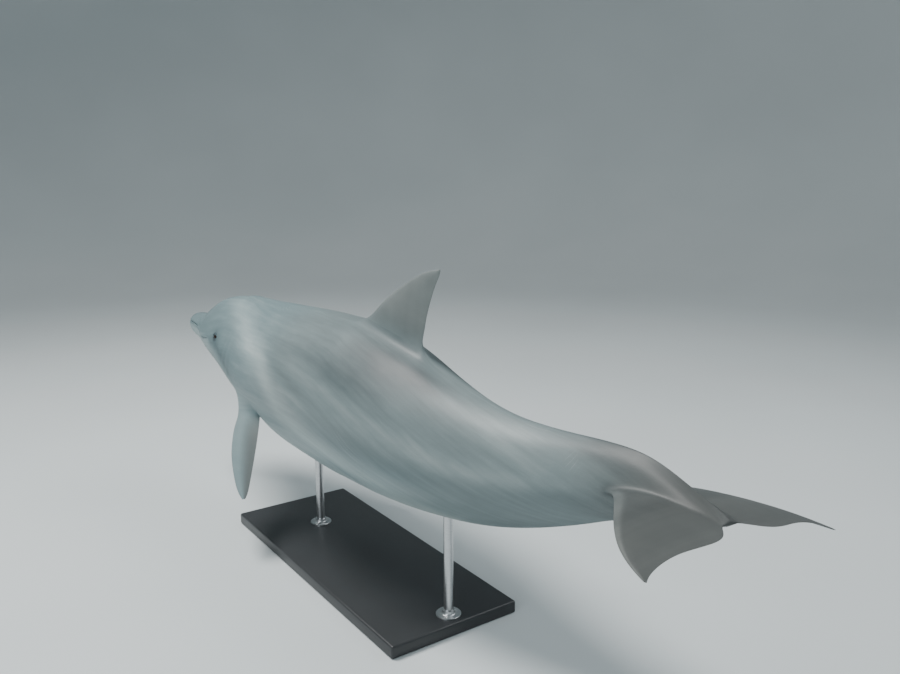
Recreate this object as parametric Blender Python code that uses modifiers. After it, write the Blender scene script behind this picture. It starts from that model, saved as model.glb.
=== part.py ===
"""Bottlenose dolphin, life size, gliding with its head turned a little to its left,
held over a flat base by two rods.

The animal is one smooth form, divided into its named parts. It lies along X with the
beak towards -X, its back up and its left side towards -Y. The origin is the centre of
the underside of the stand's base. Lengths are metres; stations run along the spine
from 0 at the beak tip to 1 at the notch between the flukes, and heights and widths in
the tables are fractions of the animal's length too.
"""
import math

import bmesh
import bpy
import numpy as np
from mathutils import Matrix, Vector

# ---- the animal -------------------------------------------------------------
LENGTH = 2.40               # beak tip to fluke notch along the spine
GIRTH = 0.985               # lean factor on the body table
GAP = 0.0004                # clearance between neighbouring pieces

# station, height of back above spine, depth of belly below it, half width
BODY = (
    (0.000, 0.0035, 0.0075, 0.0030),    # beak tip
    (0.0022, 0.0074, 0.0122, 0.0078),
    (0.0065, 0.0110, 0.0170, 0.0124),
    (0.012, 0.0133, 0.0198, 0.0153),
    (0.020, 0.0152, 0.0222, 0.0172),
    (0.044, 0.0205, 0.0270, 0.0212),    # beak root
    (0.060, 0.0370, 0.0300, 0.0275),    # foot of the melon
    (0.075, 0.0500, 0.0340, 0.0350),
    (0.095, 0.0615, 0.0375, 0.0432),    # melon
    (0.120, 0.0695, 0.0425, 0.0508),    # corner of the mouth
    (0.150, 0.0770, 0.0490, 0.0575),    # blowhole
    (0.200, 0.0850, 0.0620, 0.0680),    # neck
    (0.270, 0.0955, 0.0780, 0.0795),    # shoulder
    (0.350, 0.1030, 0.0892, 0.0865),
    (0.450, 0.1055, 0.0930, 0.0880),    # greatest girth
    (0.550, 0.0980, 0.0865, 0.0790),
    (0.650, 0.0825, 0.0700, 0.0600),
    (0.750, 0.0630, 0.0500, 0.0390),    # tail stock
    (0.850, 0.0435, 0.0320, 0.0225),
    (0.900, 0.0325, 0.0235, 0.0172),
    (0.925, 0.0235, 0.0175, 0.0160),
    (0.950, 0.0150, 0.0120, 0.0148),
    (0.975, 0.0058, 0.0050, 0.0125),
    (1.000, 0.0010, 0.0010, 0.0085),    # fluke notch
)
# station, height of the widest level above the spine
WAIST = ((0.0, -0.003), (0.05, -0.004), (0.12, -0.002), (0.25, 0.000), (0.5, 0.004),
         (0.75, 0.005), (0.84, 0.003), (0.9, 0.0005), (1.0, 0.0))
# station, how keeled the back and belly are: 0 round, 1 sharp
KEEL = ((0.0, 0.0), (0.5, 0.02), (0.62, 0.18), (0.75, 0.42), (0.87, 0.60), (0.93, 1.10),
        (1.0, 0.90))

# how the spine bends, radians per body length: down towards the tail, and sideways
PITCH_BEND = ((0.00, 0.54), (0.10, 0.36), (0.22, -0.75), (0.36, -0.96), (0.50, 1.67),
              (0.62, -1.20), (0.74, -2.20), (0.82, -0.98), (0.875, 2.88), (0.92, 3.82),
              (0.945, 0.0), (1.0, 0.0))
YAW_BEND = ((0.00, -0.32), (0.15, -0.54), (0.35, -0.71), (0.55, 0.62), (0.75, 0.35),
            (0.92, -1.28), (1.00, -0.47))
TAIL_TWIST = -0.118         # roll of the tail against the trunk, radians
HEAD_ROLL = -0.30           # roll of the head against the trunk: its left side up
LEVEL_STATION = 0.45        # the spine is level and straight ahead here

# rings of the cage: 20 points around, numbered from the back over the right side
AROUND = 20
STATIONS = (0.004, 0.018, 0.044, 0.053, 0.063, 0.078, 0.098, 0.120, 0.146, 0.168,
            0.198, 0.241, 0.271, 0.301, 0.345, 0.400, 0.465, 0.508, 0.551, 0.594,
            0.650, 0.715, 0.780, 0.835, 0.874, 0.903, 0.932, 0.961, 0.990)
# heights of ring 5 (mouth line) and ring 4 (eye line) on the head
MOUTH_LINE = ((0.0, -0.0030), (0.03, -0.0030), (0.055, -0.0075), (0.08, -0.0115),
              (0.10, -0.0100), (0.118, -0.0055), (0.13, -0.0065), (0.155, -0.0080))
EYE_LINE = ((0.0, 0.0025), (0.05, 0.005), (0.10, 0.007), (0.16, 0.0055))
MOUTH_RING = 5
EYE_STATION = 0.146

# ---- fins -------------------------------------------------------------------
# dorsal fin, root to tip: station and height of the front edge and of the rear edge
DORSAL_FRONT = ((0.483, 0.1140), (0.508, 0.137), (0.540, 0.165), (0.569, 0.186),
                (0.590, 0.1945), (0.5985, 0.1965))
DORSAL_BACK = ((0.581, 0.1065), (0.582, 0.127), (0.587, 0.152), (0.594, 0.177),
               (0.5995, 0.1895), (0.6005, 0.1950))
DORSAL_THICK = (0.044, 0.032, 0.023, 0.015, 0.009, 0.005)
DORSAL_STATIONS = (0.465, 0.594)

# flukes, root to tip: station and half span of the front edge and of the rear edge
FLUKE_FRONT = ((0.880, 0.0258), (0.9055, 0.0475), (0.9315, 0.0755), (0.959, 0.1000),
               (0.985, 0.1145), (1.0010, 0.1205))
FLUKE_BACK = ((0.9970, 0.0180), (1.0005, 0.044), (0.9980, 0.0740), (0.9975, 0.0950),
              (1.0015, 0.1140), (1.0045, 0.1205))
FLUKE_THICK = (0.034, 0.025, 0.019, 0.014, 0.009, 0.004)
FLUKE_STATIONS = (0.874, 0.990)
FLUKE_DROOP = 0.0155        # how far the tips hang below the root
FLUKE_PLANE_STATION = 0.94

# flippers, root to tip: along the blade and across it, in blade lengths
FLIPPER_LENGTH = 0.328
FLIPPER_FRONT = ((0.05, -0.160), (0.22, -0.182), (0.45, -0.140), (0.70, -0.030),
                 (0.90, 0.100), (0.985, 0.182))
FLIPPER_BACK = ((0.05, 0.150), (0.22, 0.185), (0.45, 0.215), (0.70, 0.235),
                (0.90, 0.245), (0.985, 0.227))
FLIPPER_THICK = (0.040, 0.031, 0.023, 0.016, 0.010, 0.005)
FLIPPER_STATIONS = (0.241, 0.301)
FLIPPER_RING = 7
FLIPPER_ANGLE = 2.25        # where the root sits, measured round from the back
FLIPPER_SWEEP = 0.55        # back from square to the body
FLIPPER_DROP = 0.95         # below level
FLIPPER_FEATHER = 0.0       # front edge turned down about the blade

# ---- eyes -------------------------------------------------------------------
EYE_RADIUS = 0.0165
EYE_PROUD = 0.0022          # how far the ball stands out of the head
EYE_FACETS = (14, 8)

# ---- the stand --------------------------------------------------------------
BASE_SIZE = (1.00, 0.40, 0.036)
BASE_EDGE = 0.006
ROD_RADIUS = 0.013
ROD_SIDES = 16
ROD_STATIONS = (("front", 0.345), ("rear", 0.650))
COLLAR_RADIUS = 0.034
COLLAR_HEIGHT = 0.016
BELLY_HEIGHT = 0.30         # of the belly at LEVEL_STATION, above the floor
STAND_X = 0.02              # base centre, tailward of LEVEL_STATION
STAND_Y = 0.0

# ---- where the animal is parted ---------------------------------------------
BEAK_ROOT = 0.0535
NECK = 0.200
LOIN = 0.430
STOCK = 0.665
FLUKE_ROOT = 0.868

SIDES = (("left", -1), ("right", 1))


def smooth_table(table, column=1):
    """Monotone cubic through a table: returns a function of the station."""
    x = np.array([row[0] for row in table], float)
    y = np.array([row[column] for row in table], float)
    h = np.diff(x)
    d = np.diff(y) / h
    m = np.zeros_like(y)
    m[0], m[-1] = d[0], d[-1]
    for i in range(1, len(x) - 1):
        if d[i - 1] * d[i] > 0:
            w1 = 2 * h[i] + h[i - 1]
            w2 = h[i] + 2 * h[i - 1]
            m[i] = (w1 + w2) / (w1 / d[i - 1] + w2 / d[i])

    def value(s):
        s = min(max(s, x[0]), x[-1])
        i = min(int(np.searchsorted(x, s, side="right")) - 1, len(h) - 1)
        t = (s - x[i]) / h[i]
        a = (1 + 2 * t) * (1 - t) ** 2
        b = t * (1 - t) ** 2
        c = t * t * (3 - 2 * t)
        e = t * t * (t - 1)
        return float(a * y[i] + b * h[i] * m[i] + c * y[i + 1] + e * h[i] * m[i + 1])
    return value


back_of = smooth_table(BODY, 1)
belly_of = smooth_table(BODY, 2)
width_of = smooth_table(BODY, 3)
waist_of = smooth_table(WAIST)
keel_of = smooth_table(KEEL)
mouth_of = smooth_table(MOUTH_LINE)
eye_line_of = smooth_table(EYE_LINE)


def ease(a, b, s):
    """0 before a, 1 after b, smooth between."""
    t = min(max((s - a) / (b - a), 0.0), 1.0)
    return t * t * (3 - 2 * t)


# ---- the spine --------------------------------------------------------------
def bend_spine(steps=400):
    """Integrate the bends into points and frames (tailward, right, up)."""
    s = np.linspace(0.0, 1.0, steps + 1)
    pitch = np.interp(s, *np.array(PITCH_BEND).T)
    yaw = np.interp(s, *np.array(YAW_BEND).T)
    step = s[1]
    level = int(round(LEVEL_STATION * steps))
    turn = []
    for bend in (pitch, yaw):
        angle = np.concatenate([[0], np.cumsum((bend[1:] + bend[:-1]) / 2 * step)])
        turn.append(angle - angle[level])
    p, q = turn
    tail = np.stack([np.cos(p) * np.cos(q), np.cos(p) * np.sin(q), -np.sin(p)], -1)
    up = np.stack([np.sin(p) * np.cos(q), np.sin(p) * np.sin(q), np.cos(p)], -1)
    right = np.cross(up, tail)
    neck = np.clip((0.30 - s) / 0.20, 0, 1)
    roll = TAIL_TWIST * np.clip((s - LEVEL_STATION) / 0.5, 0, 1)
    roll = roll + HEAD_ROLL * neck * neck * (3 - 2 * neck)
    c, n = np.cos(roll)[:, None], np.sin(roll)[:, None]
    right, up = c * right + n * up, c * up - n * right
    points = np.concatenate([[np.zeros(3)], np.cumsum((tail[1:] + tail[:-1]) / 2 * step, 0)])
    return s, (points - points[level]) * LENGTH, tail, right, up


SPINE = bend_spine()
LIFT = BELLY_HEIGHT + belly_of(LEVEL_STATION) * GIRTH * LENGTH   # height of the spine


def frame_at(station):
    """Point on the spine and its three directions."""
    s, points, tail, right, up = SPINE
    inside = min(max(station, 0.0), 1.0)
    rows = []
    for field in (points, tail, right, up):
        rows.append(Vector([float(np.interp(inside, s, field[:, k])) for k in range(3)]))
    place, t, r, u = rows
    place = place + t * (station - inside) * LENGTH + Vector((-STAND_X, -STAND_Y, LIFT))
    return place, t.normalized(), r.normalized(), u.normalized()


def put(station, side, height):
    """World point at a station, from side and height in body lengths."""
    place, t, r, u = frame_at(station)
    return place + r * (side * LENGTH) + u * (height * LENGTH)


# ---- the body's sections ----------------------------------------------------
def section(station, angle):
    """Side and height of the skin at an angle round from the back."""
    top = back_of(station) * GIRTH
    low = belly_of(station) * GIRTH
    waist = waist_of(station)
    reach = (top - waist) if math.cos(angle) > 0 else (low + waist)
    sine = math.sin(angle)
    keel = abs(sine) ** (1 + keel_of(station))
    side = width_of(station) * GIRTH * math.copysign(keel, sine)
    return side, waist + reach * math.cos(angle)


def angle_at_height(station, height):
    """Angle round from the back at which the skin has a given height."""
    rise = height - waist_of(station)
    if rise > 0:
        reach = back_of(station) * GIRTH - waist_of(station)
    else:
        reach = belly_of(station) * GIRTH + waist_of(station)
    return math.acos(max(-1.0, min(1.0, rise / reach)))


def ring_angles(station):
    """Angles of rings 0 to 10 on the right side, from the back to the belly."""
    even = [math.pi * k / 10 for k in range(11)]
    head = 1 - ease(0.155, 0.215, station)
    mouth = angle_at_height(station, mouth_of(station))
    eye = angle_at_height(station, eye_line_of(station))
    guide = {0: 0.0, 4: eye, 5: mouth, 10: math.pi}
    turned = np.interp(range(11), list(guide), list(guide.values()))
    angles = [e + (t - e) * head for e, t in zip(even, turned)]
    fin = ease(0.38, 0.46, station) * (1 - ease(0.60, 0.67, station))
    angles[1] += (0.155 - angles[1]) * fin
    angles[2] += (0.46 - angles[2]) * fin
    limb = ease(0.185, 0.235, station) * (1 - ease(0.305, 0.36, station))
    for ring, angle in ((6, -0.20), (7, 0.0), (8, 0.20)):
        angles[ring] += (FLIPPER_ANGLE + angle - angles[ring]) * limb
    angles[5] += (1.66 - angles[5]) * limb * 0.6
    angles[9] += (2.78 - angles[9]) * limb * 0.6
    return angles


def ring_point(station, ring):
    angles = ring_angles(station)
    angle = angles[ring] if ring <= 10 else -angles[AROUND - ring]
    side, height = section(station, angle)
    return put(station, side, height)


def skin_normal(station, angle):
    """Outward direction of the skin."""
    d = 0.002
    a = put(station + d, *section(station + d, angle))
    b = put(station - d, *section(station - d, angle))
    c = put(station, *section(station, angle + 0.01))
    e = put(station, *section(station, angle - 0.01))
    normal = (a - b).cross(c - e).normalized()
    centre = frame_at(station)[0]
    return normal if normal.dot(put(station, *section(station, angle)) - centre) > 0 else -normal


# ---- the cage ---------------------------------------------------------------
def beak_cap(bm, ring):
    """Close the front ring with a patch four faces high and six wide."""
    top = [ring[k % AROUND] for k in range(17, 24)]
    bottom = [ring[k] for k in range(13, 6, -1)]
    left = [ring[k] for k in (17, 16, 15, 14, 13)]
    right = [ring[k] for k in (3, 4, 5, 6, 7)]
    rows = [top]
    for j in (1, 2, 3):
        row = [left[j]]
        v = j / 4
        for i in range(1, 6):
            u = i / 6
            flat = (top[i].co * (1 - v) + bottom[i].co * v
                    + left[j].co * (1 - u) + right[j].co * u) / 2
            dome = (16 * u * (1 - u) * v * (1 - v)) ** 0.7
            chin = 0.0014 if j == 3 else 0.0
            ahead = frame_at(0)[1] * (-(0.004 * dome + chin * dome) * LENGTH)
            row.append(bm.verts.new(flat + ahead))
        row.append(right[j])
        rows.append(row)
    rows.append(bottom)
    for a, b in zip(rows, rows[1:]):
        for i in range(6):
            bm.faces.new((a[i], a[i + 1], b[i + 1], b[i]))


def tail_cap(bm, ring):
    """Close the last ring across its thin edge."""
    upper = [ring[k % AROUND] for k in range(15, 26)]
    lower = [ring[k] for k in range(15, 4, -1)]
    for i in range(10):
        corners = []
        for vert in (upper[i], upper[i + 1], lower[i + 1], lower[i]):
            if vert not in corners:
                corners.append(vert)
        bm.faces.new(corners)


def outline(grid):
    """Border of a grid three wide, as one loop."""
    n = len(grid)
    loop = [grid[i][0] for i in range(n)] + [grid[-1][1]]
    return loop + [grid[i][2] for i in range(n - 1, -1, -1)] + [grid[0][1]]


def grow(bm, block, sections):
    """Open the skin over a block of rings and draw the fin's sections out of it."""
    for a, b in zip(block, block[1:]):
        for k in (0, 1):
            bm.faces.remove(bm.faces.get((a[k], a[k + 1], b[k + 1], b[k])))
    for row in block[1:-1]:
        bm.verts.remove(row[1])
    last = outline(block)
    for points in sections:
        tip = points is sections[-1]
        rows = []
        for i, row in enumerate(points):
            keep = tip or i in (0, len(points) - 1)
            rows.append([bm.verts.new(p) if k != 1 or keep else None
                         for k, p in enumerate(row)])
        loop = outline(rows)
        for k in range(len(loop)):
            n = (k + 1) % len(loop)
            bm.faces.new((last[k], last[n], loop[n], loop[k]))
        last = loop
    for a, b in zip(rows, rows[1:]):
        for k in (0, 1):
            bm.faces.new((a[k], a[k + 1], b[k + 1], b[k]))


def chord_stops(count):
    """Where the points of a fin's section lie along its chord."""
    return [0.07 + 0.86 * (i / (count - 1)) ** 1.1 for i in range(count)]


def swell(c):
    """Half thickness of a fin's section along its chord: round in front, fine behind."""
    shape = 2.6 * (math.sqrt(c) * (1 - c) * 0.62 + 0.07 * c * (1 - c))
    return 0.5 * max(shape, 0.16)


def blade(front, rear, thick, count, build):
    """One section of a fin: points over the front, both faces and the rear edge."""
    rows = []
    for i, c in enumerate(chord_stops(count)):
        x = front[0] + (rear[0] - front[0]) * c
        y = front[1] + (rear[1] - front[1]) * c
        middle = {0: 0.0, count - 1: 1.0}.get(i, c)
        mx = front[0] + (rear[0] - front[0]) * middle
        my = front[1] + (rear[1] - front[1]) * middle
        half = thick * swell(c)
        rows.append((build(x, y, half), build(mx, my, 0.0), build(x, y, -half)))
    return rows


def block_of(rings, first, last, middle):
    """Rows of a block of the cage between two stations, three rings wide."""
    a = STATIONS.index(first)
    b = STATIONS.index(last)
    return [[rings[i][(middle + k) % AROUND] for k in (-1, 0, 1)] for i in range(a, b + 1)]


def dorsal_sections(count):
    def build(station, height, half):
        return put(station, -half / LENGTH, height * GIRTH)
    return [blade(f, r, t, count, build)
            for f, r, t in zip(DORSAL_FRONT, DORSAL_BACK, DORSAL_THICK)]


def fluke_sections(side, count):
    place, t, r, u = frame_at(FLUKE_PLANE_STATION)

    def build(station, span, half):
        plane = place + t * ((station - FLUKE_PLANE_STATION) * LENGTH)
        bent, bt, br, bu = frame_at(station)
        near = ease(0.02, 0.05, span)
        spot = bent.lerp(plane, near) + br.lerp(r, near) * (side * span * LENGTH)
        droop = FLUKE_DROOP * (span / 0.12) ** 2.6
        up = bu.lerp(u, near)
        return spot + up * (side * half - droop * LENGTH)
    return [blade(f, b, k, count, build)
            for f, b, k in zip(FLUKE_FRONT, FLUKE_BACK, FLUKE_THICK)]


def flipper_frame(side):
    """Root centre of a flipper, its direction, chord and thickness directions."""
    station = sum(FLIPPER_STATIONS) / 2
    place, t, r, u = frame_at(station)
    across, height = section(station, side * FLIPPER_ANGLE)
    root = put(station, across, height)
    out = r * side
    level = out * math.cos(FLIPPER_DROP) - u * math.sin(FLIPPER_DROP)
    along = t * math.sin(FLIPPER_SWEEP) + level * math.cos(FLIPPER_SWEEP)
    chord = t * math.cos(FLIPPER_SWEEP) - level * math.sin(FLIPPER_SWEEP)
    turn = Matrix.Rotation(side * FLIPPER_FEATHER, 3, along)
    chord = turn @ chord
    return root, along, chord, chord.cross(along)


def flipper_sections(side, count):
    root, along, chord, face = flipper_frame(side)
    reach = FLIPPER_LENGTH

    def build(u, v, half):
        return root + along * (u * reach) + chord * (v * reach) + face * half
    return [blade(f, b, k, count, build)
            for f, b, k in zip(FLIPPER_FRONT, FLIPPER_BACK, FLIPPER_THICK)]


def reach_targets(bm, rounds=12):
    """Push the cage out until the smooth surface passes through its points."""
    verts = list(bm.verts)
    index = {v: i for i, v in enumerate(verts)}
    target = np.array([v.co for v in verts])
    centre = []
    for v in verts:
        ring = [index[e.other_vert(v)] for e in v.link_edges]
        faces = [[index[w] for w in f.verts] for f in v.link_faces]
        centre.append((ring, faces))
    cage = target.copy()
    for _ in range(rounds):
        smooth = np.empty_like(cage)
        for i, (ring, faces) in enumerate(centre):
            n = len(ring)
            middle = sum(cage[f].mean(0) for f in faces) / n
            edges = sum((cage[i] + cage[k]) / 2 for k in ring) / n
            point = (middle + 2 * edges + (n - 3) * cage[i]) / n
            mids = np.zeros(3)
            for k in ring:
                both = [f for f in faces if k in f]
                mids = mids + (cage[i] + cage[k] + sum(cage[f].mean(0) for f in both)) / 4
            corners = sum(cage[f].mean(0) for f in faces)
            smooth[i] = (n * n * point + 4 * mids + corners) / (n * (n + 5))
        cage = cage + 0.8 * (target - smooth)
    for v, co in zip(verts, cage):
        v.co = Vector(co)


def dolphin_cage():
    bm = bmesh.new()
    rings = [[bm.verts.new(ring_point(s, k)) for k in range(AROUND)] for s in STATIONS]
    for a, b in zip(rings, rings[1:]):
        for k in range(AROUND):
            n = (k + 1) % AROUND
            bm.faces.new((a[k], a[n], b[n], b[k]))
    beak_cap(bm, rings[0])
    tail_cap(bm, rings[-1])
    fin = block_of(rings, *DORSAL_STATIONS, 0)
    grow(bm, fin, dorsal_sections(len(fin)))
    for _, side in SIDES:
        middle = MOUTH_RING if side > 0 else AROUND - MOUTH_RING
        fluke = block_of(rings, *FLUKE_STATIONS, middle)
        grow(bm, fluke, fluke_sections(side, len(fluke)))
        middle = FLIPPER_RING if side > 0 else AROUND - FLIPPER_RING
        limb = block_of(rings, *FLIPPER_STATIONS, middle)
        grow(bm, limb, flipper_sections(side, len(limb)))
    reach_targets(bm)
    bmesh.ops.recalc_face_normals(bm, faces=bm.faces)
    return bm


# ---- assembly ---------------------------------------------------------------
COLOURS = {
    "back": (0.155, 0.200, 0.220),
    "flank": (0.330, 0.390, 0.410),
    "belly": (0.560, 0.600, 0.600),
    "fin": (0.130, 0.165, 0.180),
    "eye": (0.015, 0.012, 0.010),
    "base": (0.035, 0.037, 0.040),
    "steel": (0.550, 0.560, 0.570),
}


def collection(name):
    made = bpy.data.collections.new(name)
    bpy.context.scene.collection.children.link(made)
    return made


def material(name, colour, roughness, metallic=0.0):
    made = bpy.data.materials.new(name)
    made.use_nodes = True
    shader = made.node_tree.nodes["Principled BSDF"]
    shader.inputs["Base Color"].default_value = (*colour, 1.0)
    shader.inputs["Roughness"].default_value = roughness
    shader.inputs["Metallic"].default_value = metallic
    return made


def add(group, name, bm, look, smooth=40):
    """Make an object of a closed mesh, shaded smooth up to an angle in degrees."""
    bmesh.ops.recalc_face_normals(bm, faces=bm.faces)
    mesh = bpy.data.meshes.new(name)
    bm.to_mesh(mesh)
    bm.free()
    mesh.materials.append(look)
    mesh.shade_smooth()
    mesh.set_sharp_from_angle(angle=math.radians(smooth))
    made = bpy.data.objects.new(name, mesh)
    group.objects.link(made)
    return made


def evaluated(ob):
    """The object's mesh after its modifiers, as a bmesh."""
    depsgraph = bpy.context.evaluated_depsgraph_get()
    bm = bmesh.new()
    bm.from_object(ob, depsgraph)
    return bm


def smooth_dolphin(level=1):
    """The whole animal as one closed smooth mesh."""
    mesh = bpy.data.meshes.new("dolphin_form")
    cage = dolphin_cage()
    cage.to_mesh(mesh)
    cage.free()
    form = bpy.data.objects.new("dolphin_form", mesh)
    bpy.context.scene.collection.objects.link(form)
    soften = form.modifiers.new("soften", "SUBSURF")
    soften.levels = level
    soften.render_levels = level
    bm = evaluated(form)
    bpy.data.objects.remove(form, do_unlink=True)
    return bm


def side_of(bm, point, normal, keep):
    """The part of a closed mesh on one side of a plane, with the cut closed."""
    part = bm.copy()
    shift = normal * (keep * GAP / 2)
    every = list(part.verts) + list(part.edges) + list(part.faces)
    bmesh.ops.bisect_plane(part, geom=every, dist=1e-6, plane_co=point + shift,
                           plane_no=normal, clear_outer=keep < 0, clear_inner=keep > 0)
    rim = [e for e in part.edges if e.is_boundary]
    bmesh.ops.holes_fill(part, edges=rim, sides=0)
    return part


def parted(bm, point, normal):
    """Both sides of a plane: behind it, then in front of it."""
    pair = side_of(bm, point, normal, -1), side_of(bm, point, normal, 1)
    bm.free()
    return pair


def across(bm, station):
    """Part a piece square to the spine: the front piece, then the rear piece."""
    place, tail, _, _ = frame_at(station)
    return parted(bm, place, tail)


def part_dolphin():
    """Named closed pieces of the animal."""
    pieces = {}
    beak, rest = across(smooth_dolphin(), BEAK_ROOT)
    place, _, _, up = frame_at(BEAK_ROOT / 2)
    mouth = put(BEAK_ROOT / 2, 0, mouth_of(BEAK_ROOT / 2))
    pieces["beak_lower"], pieces["beak_upper"] = parted(beak, mouth, up)
    pieces["head"], rest = across(rest, NECK)
    front, rest = across(rest, LOIN)
    rear, rest = across(rest, STOCK)
    pieces["tail_stock"], tail = across(rest, FLUKE_ROOT)

    middle = (DORSAL_STATIONS[0] + DORSAL_STATIONS[1]) / 2
    back = put(middle, 0, back_of(middle) * GIRTH)
    out = skin_normal(middle, 0.0)
    pieces["trunk_rear"], pieces["dorsal_fin"] = parted(rear, back + out * 0.006, out)

    for name, side in SIDES:
        root = flipper_frame(side)[0]
        out = skin_normal(sum(FLIPPER_STATIONS) / 2, side * FLIPPER_ANGLE)
        front, pieces["flipper_" + name] = parted(front, root + out * 0.006, out)
        near = put(FLUKE_ROOT, side * 0.0225, 0)
        far = put(1.0, side * 0.0100, 0)
        _, _, right, up = frame_at(0.93)
        out = (far - near).cross(up).normalized()
        out = out if out.dot(right) * side > 0 else -out
        tail, pieces["fluke_" + name] = parted(tail, near, out)
    pieces["trunk_front"] = front
    pieces["fluke_root"] = tail
    return pieces


def eye_frame(side):
    """Centre of an eyeball and the outward direction."""
    angle = side * angle_at_height(EYE_STATION, eye_line_of(EYE_STATION))
    out = skin_normal(EYE_STATION, angle)
    skin = put(EYE_STATION, *section(EYE_STATION, angle))
    return skin - out * (EYE_RADIUS - EYE_PROUD), out


def ball(centre, out, radius, segments, rings):
    bm = bmesh.new()
    bmesh.ops.create_uvsphere(bm, u_segments=segments, v_segments=rings, radius=radius)
    turn = out.to_track_quat("Z", "Y").to_matrix().to_4x4()
    bmesh.ops.transform(bm, matrix=Matrix.Translation(centre) @ turn, verts=bm.verts)
    return bm


def stand_rod(station):
    """A rod from the base up to the belly, its top dressed to the belly's slope."""
    top = put(station, *section(station, math.pi))
    out = skin_normal(station, math.pi)
    foot = BASE_SIZE[2] + GAP
    tall = top.z + 0.05 - foot
    bm = bmesh.new()
    bmesh.ops.create_cone(bm, cap_ends=True, segments=ROD_SIDES, radius1=ROD_RADIUS,
                          radius2=ROD_RADIUS, depth=tall)
    middle = Vector((top.x, top.y, foot + tall / 2))
    bmesh.ops.translate(bm, verts=bm.verts, vec=middle)
    rod = side_of(bm, top + out * GAP, out, 1)
    bm.free()
    return rod, top


def turned(group, name, profile, look, centre):
    """A ring turned about the vertical from its half section."""
    mesh = bpy.data.meshes.new(name)
    count = len(profile)
    edges = [(i, (i + 1) % count) for i in range(count)]
    mesh.from_pydata([(x, 0.0, z) for x, z in profile], edges, [])
    mesh.materials.append(look)
    made = bpy.data.objects.new(name, mesh)
    made.location = centre
    group.objects.link(made)
    screw = made.modifiers.new("turn", "SCREW")
    screw.steps = ROD_SIDES
    screw.render_steps = ROD_SIDES
    screw.use_merge_vertices = True
    screw.merge_threshold = 0.00001
    return made


def build():
    for ob in list(bpy.data.objects):
        bpy.data.objects.remove(ob, do_unlink=True)
    parts = collection("bottlenose_dolphin")
    cutters = collection("cutters")

    looks = {
        "beak_upper": "flank", "beak_lower": "belly", "head": "flank",
        "trunk_front": "flank", "trunk_rear": "back", "tail_stock": "back",
        "fluke_root": "fin", "dorsal_fin": "fin", "flipper_left": "fin",
        "flipper_right": "fin", "fluke_left": "fin", "fluke_right": "fin",
    }
    made = {}
    for name, bm in part_dolphin().items():
        look = material(name, COLOURS[looks[name]], 0.35)
        made[name] = add(parts, name, bm, look)

    for name, side in SIDES:
        centre, out = eye_frame(side)
        look = material("eye_" + name, COLOURS["eye"], 0.08)
        add(parts, "eye_" + name, ball(centre, out, EYE_RADIUS, *EYE_FACETS), look)
        hollow = ball(centre, out, EYE_RADIUS + GAP, *EYE_FACETS)
        socket = add(cutters, "socket_" + name, hollow, look)
        socket.hide_render = True
        socket.display_type = "WIRE"
        cut = made["head"].modifiers.new("socket_" + name, "BOOLEAN")
        cut.operation = "DIFFERENCE"
        cut.object = socket

    bm = bmesh.new()
    size = Matrix.Diagonal((*BASE_SIZE, 1.0))
    lift = Matrix.Translation((0, 0, BASE_SIZE[2] / 2))
    bmesh.ops.create_cube(bm, size=1.0, matrix=lift @ size)
    base = add(parts, "stand_base", bm, material("stand_base", COLOURS["base"], 0.45), 30)
    edge = base.modifiers.new("edge", "BEVEL")
    edge.width = BASE_EDGE
    edge.segments = 3

    for name, station in ROD_STATIONS:
        rod, top = stand_rod(station)
        look = material("stand_rod_" + name, COLOURS["steel"], 0.3, 1.0)
        add(parts, "stand_rod_" + name, rod, look, 30)
        inner = ROD_RADIUS + GAP
        half = ((COLLAR_RADIUS, 0.0), (inner, 0.0), (inner, COLLAR_HEIGHT),
                (inner + 0.004, COLLAR_HEIGHT), (inner + 0.006, 0.006),
                (COLLAR_RADIUS, 0.004))
        look = material("stand_collar_" + name, COLOURS["steel"], 0.3, 1.0)
        turned(parts, "stand_collar_" + name, half, look,
               (top.x, top.y, BASE_SIZE[2] + GAP))


build()
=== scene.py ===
"""Looks of the life-size bottlenose dolphin on its display stand.

One skin covers the whole animal. It is drawn from the same lengths, bends and sections
as the solids, with lips, eyelids and a blowhole added, and it carries its own
coordinates along the straightened body, from which the markings are worked out.
Lengths are metres; stations run from 0 at the beak tip to 1 at the fluke notch.
"""

from math import acos, copysign, cos, pi, radians, sin, sqrt

import bmesh
import bpy
import numpy as np
from mathutils import Matrix, Vector


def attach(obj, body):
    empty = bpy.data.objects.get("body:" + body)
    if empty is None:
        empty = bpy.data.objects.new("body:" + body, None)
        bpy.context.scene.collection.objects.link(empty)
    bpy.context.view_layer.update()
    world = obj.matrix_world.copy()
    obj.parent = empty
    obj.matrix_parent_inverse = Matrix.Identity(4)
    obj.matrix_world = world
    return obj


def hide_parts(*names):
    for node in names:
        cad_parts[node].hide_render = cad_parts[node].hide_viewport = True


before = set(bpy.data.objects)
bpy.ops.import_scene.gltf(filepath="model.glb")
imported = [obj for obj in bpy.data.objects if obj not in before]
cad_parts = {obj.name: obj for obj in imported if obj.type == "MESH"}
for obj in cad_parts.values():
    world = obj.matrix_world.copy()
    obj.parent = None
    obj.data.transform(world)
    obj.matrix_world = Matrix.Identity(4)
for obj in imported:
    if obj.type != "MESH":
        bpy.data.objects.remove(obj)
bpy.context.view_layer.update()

# ---- the animal ----
LENGTH = 2.4
GIRTH = 0.985

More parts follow.
